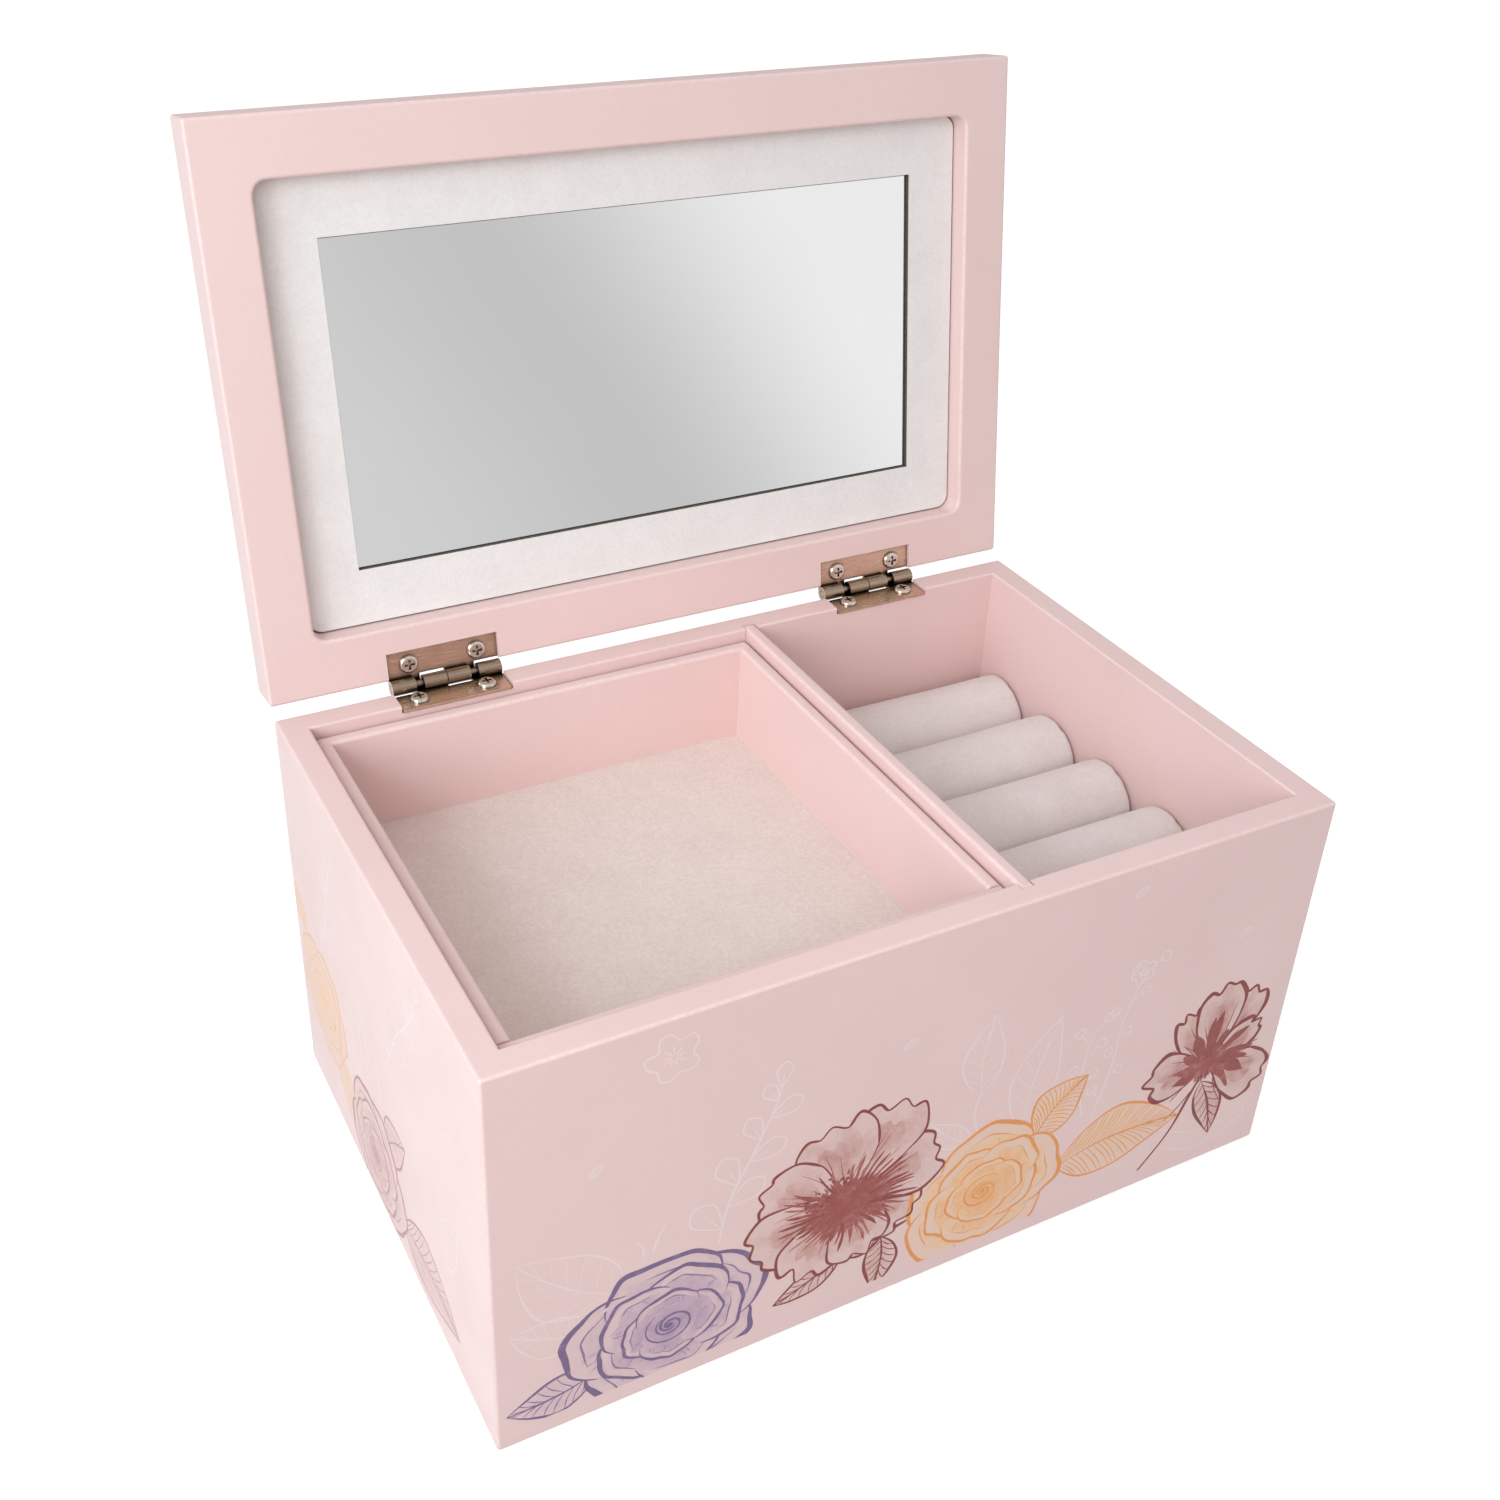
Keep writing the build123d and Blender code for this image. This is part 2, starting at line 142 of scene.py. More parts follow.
def srgb(red, green, blue):
    """A display colour, 0 to 255, as the linear colour that a shader takes."""
    def linear(v):
        v /= 255
        return v / 12.92 if v <= 0.04045 else ((v + 0.055) / 1.055) ** 2.4
    return linear(red), linear(green), linear(blue), 1.0


# ------------------------------------------------------------------------------------------- finishes
def facing(tree, turned):
    """The X, Y and Z of the way that a surface faces; turned takes the open lid back to level."""
    normal = tree.texture.outputs["Normal"]
    if turned:
        level = tree.node("ShaderNodeVectorRotate", rotation_type="X_AXIS")
        tree.join(normal, level.inputs["Vector"])
        level.inputs["Angle"].default_value = LID_TURN
        normal = level.outputs["Vector"]
    parts = tree.node("ShaderNodeSeparateXYZ")
    tree.join(normal, parts.inputs["Vector"])
    return [parts.outputs[axis] for axis in "XYZ"]


def arris_mask(tree, turned):
    """Where a surface is between two faces of the box: 0 on its flat faces, 1 halfway round an edge."""
    across, along, up = (tree.maths("ABSOLUTE", part) for part in facing(tree, turned))
    largest = tree.maths("MAXIMUM", tree.maths("MAXIMUM", across, along), up)
    return tree.spread(largest, 0.985, 0.80)


def mottling(tree, scale, broad_share, fuzz_scale, contrast):
    """How flock takes the light, 0 to 1: broad patches where it lies one way, and fine fuzz over them."""
    broad = tree.spread(tree.noise(scale, 4, 0.65), 0.3, 0.7)
    fuzz = tree.spread(tree.noise(fuzz_scale, 5, 0.75), 0.5 - contrast, 0.5 + contrast)
    return tree.maths("ADD", tree.maths("MULTIPLY", broad, broad_share),
                      tree.maths("MULTIPLY", fuzz, 1 - broad_share))


def paint(name, turned=False):
    """Satin paint over fibreboard: a slight orange peel, soft mottling, and thin, speckled edges."""
    tree = Tree(name)
    mottle = tree.spread(tree.noise(22, 3, 0.6), 0.35, 0.65)
    colour = tree.blend(mottle, srgb(230, 200, 197), srgb(234, 204, 201))
    grain = tree.spread(tree.noise(900, 2), 0.3, 0.7)
    colour = tree.blend(tree.maths("MULTIPLY", grain, 0.35), colour, srgb(227, 198, 195))
    edge = arris_mask(tree, turned)
    speckle = tree.spread(tree.noise(1300, 4, 0.7), 0.46, 0.58)
    thin = tree.maths("MULTIPLY", edge, tree.maths("MULTIPLY", speckle, 0.32))
    colour = tree.blend(thin, colour, srgb(246, 232, 228))
    peel = tree.bump(tree.noise(420, 2), 0.00004, 0.35)
    fine = tree.bump(tree.noise(2600, 3), 0.00002, 0.3, after=peel)
    roughness = tree.spread(tree.noise(60, 3), 0.3, 0.7, 0.36, 0.46)
    return tree.set(Base_Color=colour, Roughness=roughness, Normal=fine)


def flock(name, dark, light, scale=1.0, height=0.00025, broad_share=0.45):
    """Short pile: mottled by how it lies, with a soft fuzz of fine fibres."""
    tree = Tree(name)
    colour = tree.blend(mottling(tree, 70 * scale, broad_share, 900 * scale, 0.18), srgb(*dark), srgb(*light))
    pile = tree.bump(tree.noise(1500 * scale, 5, 0.7), height, 0.7)
    lie = tree.bump(tree.noise(240 * scale, 3), height, 0.35, after=pile)
    return tree.set(Base_Color=colour, Roughness=0.95, Normal=lie, Specular_IOR_Level=0.15,
                    Sheen_Weight=0.35, Sheen_Roughness=0.45, Sheen_Tint=srgb(255, 246, 242))


def surround_card():
    """Flocked card, whose cut edges show its dark core."""
    tree = Tree("surround_card")
    up = facing(tree, turned=True)[2]
    edge = tree.spread(tree.maths("ABSOLUTE", up), 0.7, 0.3)
    face = tree.blend(mottling(tree, 110, 0.4, 1200, 0.2), srgb(226, 221, 219), srgb(241, 237, 235))
    core = tree.blend(tree.spread(tree.noise(1800, 3), 0.3, 0.7), srgb(66, 57, 50), srgb(96, 86, 77))
    pile = tree.bump(tree.noise(1700, 5, 0.7), 0.0002, 0.6)
    return tree.set(Base_Color=tree.blend(edge, face, core), Roughness=0.95, Normal=pile,
                    Specular_IOR_Level=0.15, Sheen_Weight=0.15, Sheen_Roughness=0.5)


def silvered_glass():
    """A mirror, with the faint haze of a wiped surface."""
    tree = Tree("mirror_glass")
    haze = tree.spread(tree.noise(14, 3, 0.6), 0.35, 0.7, 0.012, 0.05)
    tint = tree.blend(tree.noise(30, 2), srgb(238, 238, 238), srgb(242, 242, 242))
    return tree.set(Base_Color=tint, Metallic=1.0, Roughness=haze)


def painted_crevice_shade(tree, reach):
    """How open a point is to its surroundings, for painting shade into hollows: 0 deep in a corner or a slot,
    1 in the open.
    """
    made = tree.node("ShaderNodeAmbientOcclusion")
    made.inputs["Distance"].default_value = reach
    return tree.spread(made.outputs["AO"], 0.25, 0.85)


def near_pin(tree):
    """1 on the hinges' knuckles and pins, 0 on their leaves."""
    section = tree.node("ShaderNodeMapping")
    tree.join(tree.place, section.inputs["Vector"])
    section.inputs["Scale"].default_value = (0.0, 1.0, 1.0)
    away = tree.node("ShaderNodeVectorMath", operation="DISTANCE")
    tree.join(section.outputs["Vector"], away.inputs[0])
    away.inputs[1].default_value = (0.0, *JOINTS["lid_hinge"]["pos_m"][1:])
    return tree.spread(away.outputs["Value"], 0.0023, 0.0018)


def nickel():
    """Plated stamped brass: drawn streaks along it and a warm cast, with painted shade on the knuckles and in
    the corners where the parts meet.
    """
    tree = Tree("hinge_nickel")
    along = tree.node("ShaderNodeMapping")
    tree.join(tree.place, along.inputs["Vector"])
    along.inputs["Scale"].default_value = (0.07, 1.0, 1.0)
    streaks = tree.noise(4200, 4, 0.6, at=along.outputs["Vector"])
    patches = tree.spread(tree.noise(150, 3, 0.5), 0.3, 0.7)
    colour = tree.blend(tree.spread(streaks, 0.28, 0.70), srgb(196, 170, 151), srgb(232, 208, 188))
    colour = tree.blend(tree.maths("MULTIPLY", patches, 0.3), colour, srgb(198, 170, 142))
    # Painted shade: the knuckles and pins are darkened towards dark brown.
    colour = tree.blend(tree.maths("MULTIPLY", near_pin(tree), 0.6), colour, srgb(122, 104, 86))
    # Painted shade: near-black brown in the corners and slots where the parts meet, from ambient occlusion.
    colour = tree.blend(painted_crevice_shade(tree, 0.003), srgb(58, 46, 36), colour)
    return tree.set(Base_Color=colour, Metallic=1.0, Roughness=tree.spread(streaks, 0.3, 0.7, 0.16, 0.30),
                    Normal=tree.bump(streaks, 0.00002, 0.5))


def silver_screw():
    """A bright pan head, whose cross recess is darkened by painted shade."""
    tree = Tree("hinge_screws")
    marks = tree.noise(3200, 4, 0.7)
    colour = tree.blend(tree.spread(marks, 0.35, 0.7), srgb(238, 230, 222), srgb(196, 184, 172))
    # Painted shade: near black deep in the cross recess, from ambient occlusion.
    colour = tree.blend(painted_crevice_shade(tree, 0.0012), srgb(40, 32, 26), colour)
    return tree.set(Base_Color=colour, Metallic=1.0, Roughness=tree.spread(marks, 0.3, 0.7, 0.12, 0.26),
                    Normal=tree.bump(marks, 0.00002, 0.4))


def ink(name, *tints):
    """Screen-printed ink: a wash from its darkest tint to its palest, by each shape's shade."""
    tree = Tree(name)
    shade = tree.node("ShaderNodeAttribute", attribute_type="GEOMETRY", attribute_name="shade")
    streaks = tree.spread(tree.noise(330, 5, 0.7), 0.3, 0.7, -0.13, 0.13)
    specks = tree.spread(tree.noise(1500, 3, 0.6), 0.3, 0.7, -0.05, 0.05)
    level = tree.maths("ADD", shade.outputs["Fac"], tree.maths("ADD", streaks, specks))
    ramp = tree.node("ShaderNodeValToRGB")
    tree.join(level, ramp.inputs["Fac"])
    stops = ramp.color_ramp.elements
    while len(stops) < len(tints):
        stops.new(0.5)
    for number, tint in enumerate(tints):
        stops[number].position = number / (len(tints) - 1)
        stops[number].color = srgb(*tint)
    film = tree.bump(tree.noise(2200, 3), 0.00001, 0.3)
    return tree.set(Base_Color=ramp.outputs["Color"], Roughness=0.5, Normal=film, Specular_IOR_Level=0.35)


INKS = {
    "violet": ink("ink_violet", (116, 92, 130), (162, 137, 168), (193, 164, 182), (213, 184, 193),
                  (224, 196, 197)),
    "maroon": ink("ink_maroon", (128, 50, 46), (154, 77, 72), (194, 142, 135), (214, 174, 168),
                  (226, 195, 191)),
    "orange": ink("ink_orange", (230, 150, 84), (236, 170, 112), (239, 186, 140), (239, 198, 162),
                  (235, 203, 188)),
    "peach": ink("ink_peach", (240, 190, 148), (240, 200, 168), (238, 204, 184), (235, 205, 194)),
    "mauve": ink("ink_mauve", (184, 142, 142), (205, 170, 168), (221, 190, 187), (230, 200, 197)),
    "white": ink("ink_white", (236, 218, 216), (233, 211, 208), (230, 205, 202)),
}
FINISH = {
    "painted_board": paint("painted_board"),
    "lining_flock": flock("lining_flock", (220, 202, 195), (240, 226, 219), 1.5, broad_share=0.22),
    "ring_roll_flock": flock("ring_roll_flock", (222, 211, 208), (238, 230, 228), 1.3, 0.0002),
    "base_felt": flock("base_felt", (200, 184, 180), (222, 208, 204), 0.8, 0.0004),
    "surround_card": surround_card(),
    "mirror_glass": silvered_glass(),
    "hinge_nickel": nickel(),
    "hinge_screws": silver_screw(),
}
LID_PAINT = paint("painted_board_lid", turned=True)
for subpart in frame["record"]["subparts"]:
    node = NODES[subpart["node"]]
    finish = FINISH[subpart["material_slot"]]
    if finish is FINISH["painted_board"] and subpart["node"].startswith("lid"):
        finish = LID_PAINT
    node.data.materials.clear()
    node.data.materials.append(finish)


# ------------------------------------------------------------------------------------------ ring rolls
GROWN = 10  # the cloth solver works on rolls this many times life size
ROLL_SHORTER = 0.995
ROLL_THINNER = 0.96  # the roll starts at these shares of its plain solid's size, and swells
ROLL_SWELL = 0.45 * MM  # the most that a point may move
VOXEL = 0.8 * MM
PRESSURE = 4
STEPS = 20  # frames of simulation
DENT = 0.0035  # of the radius, for each wave
TOUCH = 0.1 * MM  # how far a roll may bulge past its plain solid towards its neighbours
ROLL_SEED = 40


def swollen_roll(node):
    """The skin of a soft roll about its own middle, blown up by a cloth simulation, in metres."""
    low, high = (Vector(corner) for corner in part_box(node.name))
    middle = (low + high) / 2
    mesh = node.data.copy()
    shrink = Matrix.Diagonal((ROLL_SHORTER, ROLL_THINNER, ROLL_THINNER, 1.0))
    mesh.transform(Matrix.Scale(GROWN, 4) @ shrink @ Matrix.Translation(-middle))
    roll = bpy.data.objects.new("soft_roll", mesh)
    bpy.context.scene.collection.objects.link(roll)
    remesh = roll.modifiers.new("remesh", "REMESH")
    remesh.mode = "VOXEL"
    remesh.voxel_size = VOXEL * GROWN
    even = bpy.data.meshes.new_from_object(roll.evaluated_get(bpy.context.evaluated_depsgraph_get()))
    roll.modifiers.clear()
    roll.data = even
    start = [vertex.co.copy() for vertex in even.vertices]
    end = start
    cloth = roll.modifiers.new("cloth", "CLOTH")
    cloth.settings.quality = 5
    cloth.settings.use_pressure = True
    cloth.settings.uniform_pressure_force = PRESSURE
    cloth.settings.effector_weights.gravity = 0
    scene = bpy.context.scene
    for step in range(1, STEPS + 1):
        scene.frame_set(step)
    blown = roll.evaluated_get(bpy.context.evaluated_depsgraph_get()).data
    end = [vertex.co.copy() for vertex in blown.vertices]
    roll.modifiers.clear()
    scene.frame_set(1)
    points = []
    for before, after in zip(start, end):
        move = (after - before) / GROWN
        if move.length > ROLL_SWELL:
            move *= ROLL_SWELL / move.length
        points.append(before / GROWN + move)
    faces = [tuple(face.vertices) for face in even.polygons]
    bpy.data.objects.remove(roll)
    return points, faces


def ring_rolls():
    """Five soft rolls, each with its own slight dents, pressed flat where they meet and on the shelf."""
    names = sorted(name for name in NODES if name.startswith("ring_roll_"))
    points, faces = swollen_roll(NODES[names[0]])
    for number, name in enumerate(names):
        low, high = (Vector(corner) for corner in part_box(name))
        half = (high - low) / 2
        middle = (low + high) / 2
        draw = random.Random(ROLL_SEED + number)
        turn = draw.uniform(0, math.tau)
        waves = [(draw.uniform(40, 130), draw.uniform(0, math.tau), draw.randint(2, 5)) for _ in range(4)]
        placed = []
        for point in points:
            angle = math.atan2(point.z, point.y)
            reach = math.hypot(point.y, point.z)
            dent = sum(math.sin(length * point.x + phase + turns * (angle + turn))
                       for length, phase, turns in waves)
            reach *= 1 + DENT * dent
            x = max(-half.x, min(half.x, point.x))
            y = max(-half.y - TOUCH, min(half.y + TOUCH, reach * math.cos(angle)))
            z = max(-half.z, min(half.z, reach * math.sin(angle)))
            placed.append(middle + Vector((x, y, z)))
        mesh = bpy.data.meshes.new(f"soft_{name}")
        mesh.from_pydata(placed, [], faces)
        mesh.polygons.foreach_set("use_smooth", [True] * len(faces))
        mesh.materials.append(FINISH["ring_roll_flock"])
        roll = bpy.data.objects.new(f"soft_{name}", mesh)
        bpy.context.scene.collection.objects.link(roll)
        finer = roll.modifiers.new("finer", "SUBSURF")
        finer.levels = finer.render_levels = 1
        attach(roll, "case")
        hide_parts(name)


# --------------------------------------------------------------------------------------------- print
INK_LAYER = 0.003  # thickness of one layer of ink, mm
SUBLAYERS = 6  # shapes of one layer take turns at these heights within it, so that no two lie in one plane
LEAF_BEND = 0.24  # of half a leaf's width
EDGE_POINTS = 40  # along each edge of a leaf, where its veins end
VEIN_SLANT = 8  # how many of those points nearer the tip a vein ends than it starts


def smooth(points, count, closed=False):
    """Evenly numbered points on a Catmull-Rom curve through the given ones."""
    points = [Vector(point) for point in points]
    last = len(points) if closed else len(points) - 1
    found = []
    for step in range(count):
        along = step * last / (count if closed else count - 1)
        index = min(int(along), last - 1)
        t = along - index
        if closed:
            a, b, c, d = (points[(index + shift) % len(points)] for shift in (-1, 0, 1, 2))
        else:
            a, b, c, d = (points[max(0, min(last, index + shift))] for shift in (-1, 0, 1, 2))
        found.append(0.5 * (2 * b + (c - a) * t + (2 * a - 5 * b + 4 * c - d) * t ** 2
                            + (3 * b - a - 3 * c + d) * t ** 3))
    return found


def polar(middle, radius, angle, squash=1.0):
    """A point on a circle, or on an ellipse that is squashed from top to bottom."""
    return Vector((middle[0] + radius * math.cos(angle), middle[1] + radius * squash * math.sin(angle)))


class Face:
    """One flat side of the box, in millimetres across and up it, and the ink printed on it."""

    def __init__(self, name, origin, across, up, seed, foot):
        self.name, self.foot = name, foot
        self.origin, self.across, self.up = Vector(origin), Vector(across), Vector(up)
        self.out = self.across.cross(self.up)
        self.draw = random.Random(seed)
        self.meshes = {}
        self.shapes = 0

    def mesh(self, colour):
        if colour not in self.meshes:
            made = bmesh.new()
            self.meshes[colour] = (made, made.verts.layers.float.new("shade"))
        return self.meshes[colour]

    def vertex(self, colour, point, layer, shade):
        made, layer_of_shade = self.mesh(colour)
        height = (layer + self.shapes % SUBLAYERS / SUBLAYERS) * INK_LAYER if layer else 0
        place = self.origin + (self.across * point[0] + self.up * point[1] + self.out * height) * MM
        vertex = made.verts.new(place)
        vertex[layer_of_shade] = shade
        return vertex

    def stroke(self, colour, path, width, layer, shade=0.0, closed=False, ends=(0.15, 0.15), count=0):
        """A line whose width swells and thins as a pen's does."""
        made = self.mesh(colour)[0]
        self.shapes += 1
        points = smooth(path, count or 8 * len(path), closed)
        total = len(points)
        swell, phase = self.draw.uniform(0.12, 0.3), self.draw.uniform(0, math.tau)
        sections = []
        for index, point in enumerate(points):
            after = points[(index + 1) % total] if closed else points[min(index + 1, total - 1)]
            before = points[index - 1] if closed or index else points[0]
            along = (after - before).normalized()
            t = index / (total - 1)
            size = width / 2 * (1 + swell * math.sin(phase + 9 * t))
            if not closed:
                end, reach = (ends[0], t) if t < 0.5 else (ends[1], 1 - t)
                size *= end + (1 - end) * min(1, 3.2 * reach) ** 0.8
            side = Vector((-along.y, along.x)) * size
            corners = ((point - side, 0), (point - side, layer), (point + side, layer), (point + side, 0))
            sections.append([self.vertex(colour, place, height, shade) for place, height in corners])
        for index in range(total if closed else total - 1):
            near, far = sections[index], sections[(index + 1) % total]
            for k in range(4):
                made.faces.new((near[k], near[(k + 1) % 4], far[(k + 1) % 4], far[k]))
        if not closed:
            made.faces.new(sections[0])
            made.faces.new(sections[-1][::-1])

    def wash(self, colour, outline, base, layer, rim=1.0, heart=0.6, uneven=0.12):
        """A filled shape, shaded from its base point out to its rim."""
        made = self.mesh(colour)[0]
        self.shapes += 1
        base = Vector(base)
        shares = (0.3, 0.6, 0.85, 1.0)
        waves = [(self.draw.randint(1, 4), self.draw.uniform(0, math.tau)) for _ in range(2)]
        rings = []
        for share in shares:
            ring = []
            for index, point in enumerate(outline):
                angle = math.tau * index / len(outline)
                drift = uneven * sum(math.sin(turns * angle + phase) for turns, phase in waves) * share * 0.6
                shade = heart + (rim - heart) * share ** 1.5 + drift
                ring.append(self.vertex(colour, base.lerp(point, share), layer, shade))
            rings.append(ring)
        top = self.vertex(colour, base, layer, heart)
        foot = [self.vertex(colour, point, 0, rim) for point in outline]
        total = len(outline)
        for index in range(total):
            after = (index + 1) % total
            made.faces.new((top, rings[0][index], rings[0][after]))
            for inner, outer in zip(rings, rings[1:] + [foot]):
                made.faces.new((inner[index], outer[index], outer[after], inner[after]))
        made.faces.new(foot[::-1])

    def dot(self, colour, middle, radius, layer, shade=0.0):
        outline = [polar(middle, radius * self.draw.uniform(0.8, 1.2), math.tau * k / 7) for k in range(7)]
        self.wash(colour, outline, middle, layer, shade, shade, 0.0)

    def finish(self):
        """Trim the print along its straight foot, and hang each colour on the case."""
        foot = self.origin + self.up * self.foot * MM
        for colour, (made, _) in self.meshes.items():
            everything = made.verts[:] + made.edges[:] + made.faces[:]
            cut = bmesh.ops.bisect_plane(made, geom=everything, dist=1e-9, plane_co=foot,
                                         plane_no=self.up, clear_inner=True)
            edges = [part for part in cut["geom_cut"] if isinstance(part, bmesh.types.BMEdge)]
            bmesh.ops.edgenet_fill(made, edges=[edge for edge in edges if edge.is_boundary])
            loose = [vertex for vertex in made.verts if not vertex.link_faces]
            bmesh.ops.delete(made, geom=loose, context="VERTS")
            bmesh.ops.recalc_face_normals(made, faces=made.faces[:])
            mesh = bpy.data.meshes.new(f"print_{self.name}_{colour}")
            made.to_mesh(mesh)
            made.free()
            mesh.materials.append(INKS[colour])
            piece = bpy.data.objects.new(mesh.name, mesh)
            bpy.context.scene.collection.objects.link(piece)
            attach(piece, "case")


def leaf(face, colour, base, tip, width, layer, veins, pen, fill=None):
    """A pointed leaf in outline, with a bent midrib and veins hatched out to its edges."""
    base, tip = Vector(base), Vector(tip)
    along = tip - base
    side = Vector((-along.y, along.x)).normalized() * width / 2
    lift = side * LEAF_BEND
    rib = [base, base + along * 0.35 + lift, base + along * 0.7 + lift * 0.8, tip]
    edges = []
    for way in (1, -1):
        edges.append([base, base + along * 0.2 + side * way * 0.75 + lift * 0.4,
                      base + along * 0.48 + side * way + lift,
                      base + along * 0.78 + side * way * 0.55 + lift * 0.8, tip])
    if fill is not None:
        outline = smooth(edges[0], 16)[:-1] + smooth(edges[1], 16)[:0:-1]
        face.wash(colour, outline, base + along * 0.45 + lift, layer, fill, fill - 0.15)
    face.stroke(colour, rib, pen * 1.2, layer + 1)
    middle = smooth(rib, veins + 3)
    for edge in edges:
        face.stroke(colour, edge, pen * 1.5, layer + 2)
        rim = smooth(edge, EDGE_POINTS)
        for number in range(1, veins + 1):
            start = middle[number]
            along_edge = int((EDGE_POINTS - 1) * (number / (veins + 2)) + VEIN_SLANT)
            end = rim[min(EDGE_POINTS - 2, along_edge)]
            bow = start.lerp(end, 0.5) + along.normalized() * 0.5
            face.stroke(colour, [start, bow, start.lerp(end, 0.97)], pen * 0.55, layer + 1, ends=(0.6, 0.3))


def rose(face, colour, middle, radius, squash, turn, layer, weight=1.0):
    """A full rose: three rings of lapped petals, each with a rolled lip, round a spiral heart.

    squash is how tall it is for its width, and weight makes its outlines finer or bolder.
    """
    draw = face.draw
    for share, petals, pale, deep, pen in ((1.0, 5, 1.0, 0.66, 0.060), (0.73, 5, 0.86, 0.52, 0.042),
                                           (0.48, 4, 0.74, 0.42, 0.032)):
        for number in range(petals):
            heading = turn + math.tau * number / petals + draw.uniform(-0.12, 0.12) + share * 2
            half = math.pi / petals * draw.uniform(1.2, 1.45)
            crest = radius * share * draw.uniform(0.94, 1.05)
            tip = draw.uniform(-0.5, 0.5)
            reach = []
            for step in range(11):
                t = step / 5 - 1
                shape = 1 - 0.16 * t ** 4 - 0.06 * t * t + 0.075 * math.exp(-((t - tip) / 0.16) ** 2)
                reach.append((heading + half * t, crest * shape * draw.uniform(0.985, 1.015)))
            arc = [polar(middle, r, angle, squash) for angle, r in reach]
            outline = smooth(arc, 30) + [Vector(middle)]
            face.wash(colour, outline, polar(middle, crest * 0.5, heading, squash), layer, pale, deep)
            lip = [polar(middle, r * (0.90 - 0.03 * math.sin(3 * k)), angle, squash)
                   for k, (angle, r) in enumerate(reach[1:-1])]
            face.stroke(colour, lip, crest * 0.10, layer + 1, min(1.0, pale + 0.12), ends=(0.05, 0.05))
            inner = [polar(middle, r * 0.83, angle, squash) for angle, r in reach[2:draw.randint(6, 9)]]
            face.stroke(colour, inner, radius * pen * 0.35 * weight, layer + 2, 0.12, ends=(0.1, 0.1))
            for _ in range(3):
                angle = heading + draw.uniform(-0.7, 0.7) * half
                near, far = draw.uniform(0.62, 0.7), draw.uniform(0.76, 0.82)
                brush = [polar(middle, crest * near, angle, squash),
                         polar(middle, crest * far, angle + 0.05, squash)]
                face.stroke(colour, brush, crest * 0.03, layer + 2, deep - 0.12, ends=(0.2, 0.2), count=6)
            face.stroke(colour, arc, radius * pen * weight, layer + 3, 0.0, ends=(0.12, 0.12), count=44)
            layer += 3
    bowl = [polar(middle, radius * 0.29 * draw.uniform(0.93, 1.07), math.tau * k / 12, squash)
            for k in range(12)]
    face.wash(colour, smooth(bowl, 30, closed=True), middle, layer + 2, 0.6, 0.3)
    for start, turns in ((0.28, 1.6), (0.15, 1.5)):
        path = []
        for step in range(22):
            t = step / 21
            wobble = 1 + 0.09 * math.sin(5.3 * t * turns + start * 40)
            reach = radius * start * (1 - 0.86 * t) * wobble
            path.append(polar(middle, reach, turn + turns * math.tau * t, squash))
        face.stroke(colour, path, radius * 0.024 * weight, layer + 4, 0.0, ends=(0.3, 0.4), count=70)
    face.dot(colour, middle, radius * 0.03, layer + 5)


def petal(face, colour, root, heading, length, width, layer, pen, deep):
    """One open petal with a ruffled edge, a deeper stain inside and fine veins from its root."""
    draw = face.draw
    ahead = Vector((math.cos(heading), math.sin(heading)))
    side = Vector((-ahead.y, ahead.x))
    profile = ((0.06, 0.0), (0.22, 0.24), (0.5, 0.46), (0.76, 0.49), (0.93, 0.33), (0.90, 0.17), (1.02, 0.03),
               (0.92, -0.15), (0.97, -0.3), (0.78, -0.5), (0.5, -0.45), (0.22, -0.22))
    at = [root + ahead * length * x * draw.uniform(0.95, 1.04) + side * width * y * draw.uniform(0.92, 1.08)
          for x, y in profile]
    middle = root + ahead * length * 0.52
    outline = smooth(at, 48, closed=True)
    face.wash(colour, outline, middle, layer, 0.98, deep + 0.14)
    bent = middle + side * width * draw.uniform(-0.1, 0.1)
    stain = [bent.lerp(point, draw.uniform(0.5, 0.62)) for point in outline[::4]]
    face.wash(colour, smooth(stain, 30, closed=True), bent, layer + 1, deep + 0.08, deep - 0.08)
    for number in range(5):
        lean = (number - 2) * 0.15
        vein = [root + ahead * length * 0.1, root + ahead * length * 0.35 + side * width * lean * 1.3,
                root + ahead * length * draw.uniform(0.5, 0.72) + side * width * lean * 2.1]
        face.stroke(colour, vein, pen * 0.45, layer + 2, 0.2, ends=(0.8, 0.1), count=10)
    face.stroke(colour, at, pen, layer + 3, 0.0, closed=True, count=70)
    for start in (2, 7):
        face.stroke(colour, at[start:start + 4], pen * 1.7, layer + 3, 0.0, ends=(0.2, 0.2), count=24)


def brushed_heart(face, colour, middle, across, squash, layer, spikes):
    """The dark middle of an open flower, laid down in short strokes that fly outwards."""
    draw = face.draw
    outline = [polar(middle, across * (draw.uniform(0.88, 1.08) if k % 2 else draw.uniform(0.66, 0.8)),
                     math.tau * k / (2 * spikes), squash) for k in range(2 * spikes)]
    face.wash(colour, outline, middle, layer, 0.27, 0.2, 0.05)
    for number in range(spikes):
        angle = math.tau * number / spikes + draw.uniform(-0.06, 0.06)
        near, far = draw.uniform(0.4, 0.75), draw.uniform(1.05, 1.5)
        path = [polar(middle, across * near, angle, squash),
                polar(middle, across * (near + far) / 2, angle + 0.05, squash),
                polar(middle, across * far, angle + 0.02, squash)]
        face.stroke(colour, path, draw.uniform(0.35, 0.9), layer + 1, draw.choice((0.08, 0.22, 0.3)),
                    ends=(0.7, 0.05), count=9)


